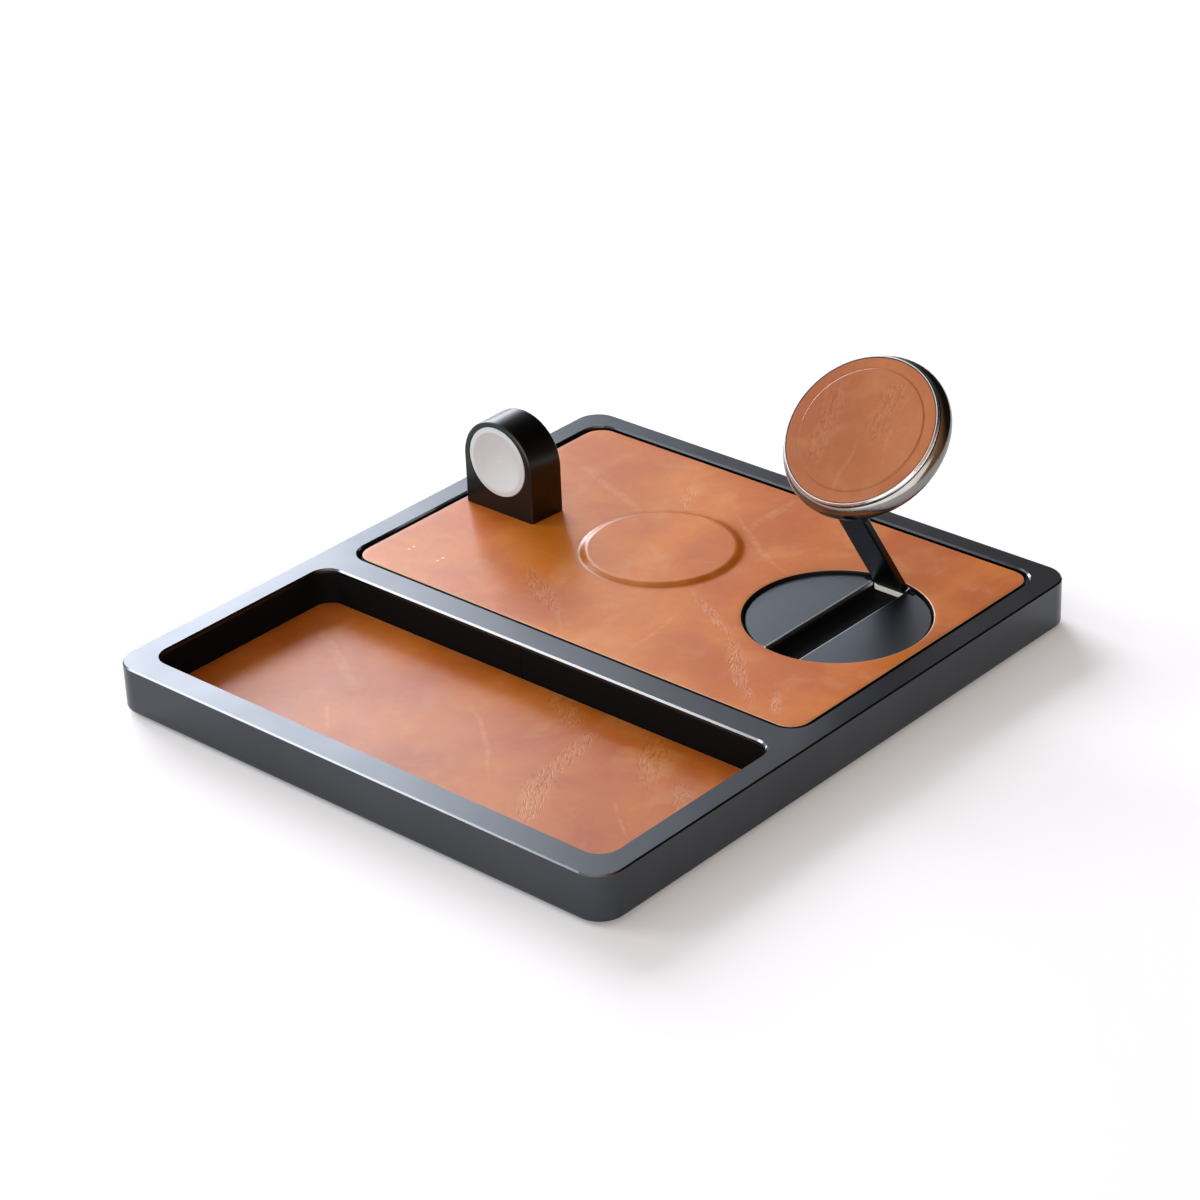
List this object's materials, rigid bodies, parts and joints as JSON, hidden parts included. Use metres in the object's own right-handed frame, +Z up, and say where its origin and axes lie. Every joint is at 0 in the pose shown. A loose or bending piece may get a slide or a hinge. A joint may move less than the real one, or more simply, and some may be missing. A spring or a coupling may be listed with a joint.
{
  "type": "charging station organizer",
  "caption": "Low metal valet tray with leather compartment and deck, raised earbud charging pad, upright watch charger, and phone charging disc on an arm that folds down flat.",
  "frame": {"origin": "middle of the tray's footprint, on the surface that the rubber feet stand on", "axes": "+X to the right along the front edge, +Y from the front edge to the rear edge with the charging inlet, +Z up"},
  "size_m": [0.222, 0.2488, 0.102],
  "materials": {
    "dark_anodised": "satin dark grey anodised",
    "cover_plastic": "fine moulded texture",
    "foot_rubber": "matt",
    "screw_steel": "zinc plated",
    "fibreboard": "pressed fibreboard",
    "tan_leather": "vegetable tanned, waxed, lightly mottled",
    "liner_leather": "black split leather with one upright seam",
    "black_plastic": "moulded",
    "coil_copper": "enamelled copper litz winding, drawn as a solid ring",
    "ferrite": "sintered ferrite sheet",
    "recess_aluminium": "satin grey anodised",
    "pin_steel": "ground",
    "washer_nylon": "nylon",
    "stand_aluminium": "satin black anodised",
    "white_plastic": "polished white",
    "case_aluminium": "fine blasted",
    "magnet_nickel": "nickel plated",
    "light_acrylic": "frosted clear acrylic",
    "board_green": "solder mask",
    "chip_black": "moulded epoxy",
    "socket_steel": "drawn stainless steel",
    "lead_plastic": "insulation",
    "ballast_steel": "plain steel plate",
    "arm_aluminium": "satin black anodised",
    "barrel_chrome": "polished",
    "bracket_steel": "stamped, black plated",
    "shell_gunmetal": "polished gunmetal",
    "bezel_chrome": "polished"
  },
  "bodies": {
    "base": {"tray_frame": "dark_anodised", "bottom_cover": "cover_plastic", "rubber_feet": "foot_rubber", "bottom_cover_screws": "screw_steel", "compartment_board": "fibreboard", "compartment_leather": "tan_leather", "compartment_liner": "liner_leather", "deck_plate": "black_plastic", "deck_leather": "tan_leather", "deck_screws": "screw_steel", "pad_riser": "black_plastic", "pad_coil": "coil_copper", "pad_ferrite": "ferrite", "coil_tray": "black_plastic", "coil_tray_screws": "screw_steel", "recess_plate": "recess_aluminium", "slot_cradle": "black_plastic", "cradle_screws": "screw_steel", "foot_pin": "pin_steel", "hinge_washers": "washer_nylon", "watch_stand": "stand_aluminium", "watch_stand_screws": "screw_steel", "watch_puck": "white_plastic", "puck_case": "case_aluminium", "puck_coil": "coil_copper", "puck_magnet": "magnet_nickel", "light_pipes": "light_acrylic", "light_board": "board_green", "main_board": "board_green", "board_parts": "chip_black", "board_screws": "screw_steel", "usb_c_socket": "socket_steel", "usb_c_tongue": "chip_black", "coil_leads": "lead_plastic", "ballast_plate": "ballast_steel", "ballast_screws": "screw_steel"},
    "arm": {"arm": "arm_aluminium", "hinge_barrel": "barrel_chrome"},
    "disc": {"disc_pin": "pin_steel", "disc_bracket": "bracket_steel", "disc_bracket_screws": "screw_steel", "disc_shell": "shell_gunmetal", "disc_carrier": "black_plastic", "disc_bezel": "bezel_chrome", "disc_leather": "tan_leather", "disc_coil": "coil_copper", "disc_ferrite": "ferrite", "disc_magnets": "magnet_nickel"}
  },
  "joints": [
    {"name": "arm_fold", "type": "hinge", "parent": "base", "child": "arm", "pos_m": [0.0636, 0.084, 0.0148], "axis": [1, 0, 0], "range_deg": [0, 58.2]},
    {"name": "disc_tilt", "type": "hinge", "parent": "arm", "child": "disc", "pos_m": [0.0636, 0.0557, 0.06044], "axis": [1, 0, 0], "range_deg": [-99, 0]}
  ],
  "couplings": [
    {"joint": "disc_tilt", "follows": "arm_fold", "ratio": -1.701}
  ]
}
